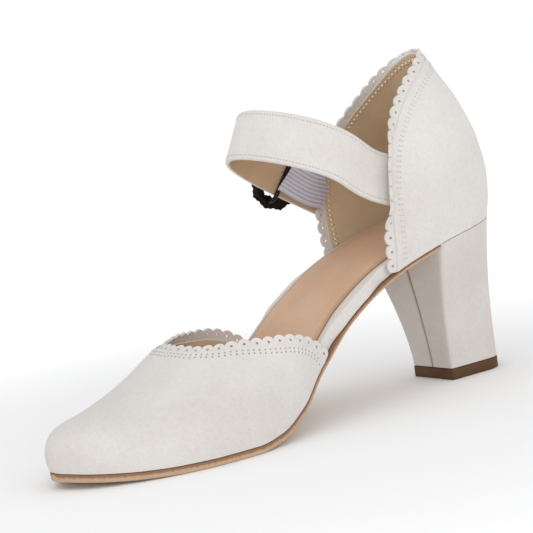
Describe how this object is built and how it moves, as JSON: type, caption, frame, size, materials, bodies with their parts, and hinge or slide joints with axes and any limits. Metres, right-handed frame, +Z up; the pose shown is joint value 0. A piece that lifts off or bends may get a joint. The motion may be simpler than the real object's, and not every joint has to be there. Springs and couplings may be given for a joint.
{
  "type": "dirndl pump",
  "caption": "Closed-toe pump with an open waist, high closed heel part with scalloped edges, buckled instep strap and tapered block heel.",
  "frame": {"origin": "middle of the heel's tread, on the floor", "axes": "+X from heel to toe, +Y to the inner side of the foot, +Z up"},
  "size_m": [0.2316, 0.0851, 0.1494],
  "materials": {
    "ivory_suede": "matte suede",
    "sole_leather": "satin",
    "sock_leather": "smooth",
    "top_piece_rubber": "matte",
    "elastic_web": "ribbed",
    "antique_silver": "darkened, worn bright on the high places"
  },
  "bodies": {
    "root": {"outsole": "sole_leather", "insole": "ivory_suede", "sock_lining": "sock_leather", "vamp": "ivory_suede", "quarter": "ivory_suede", "heel": "ivory_suede", "heel_top_piece": "top_piece_rubber", "vamp_trim": "ivory_suede", "quarter_trim": "ivory_suede", "strap": "ivory_suede", "elastic": "elastic_web", "buckle_frame": "antique_silver", "buckle_prong": "antique_silver"}
  },
  "joints": []
}
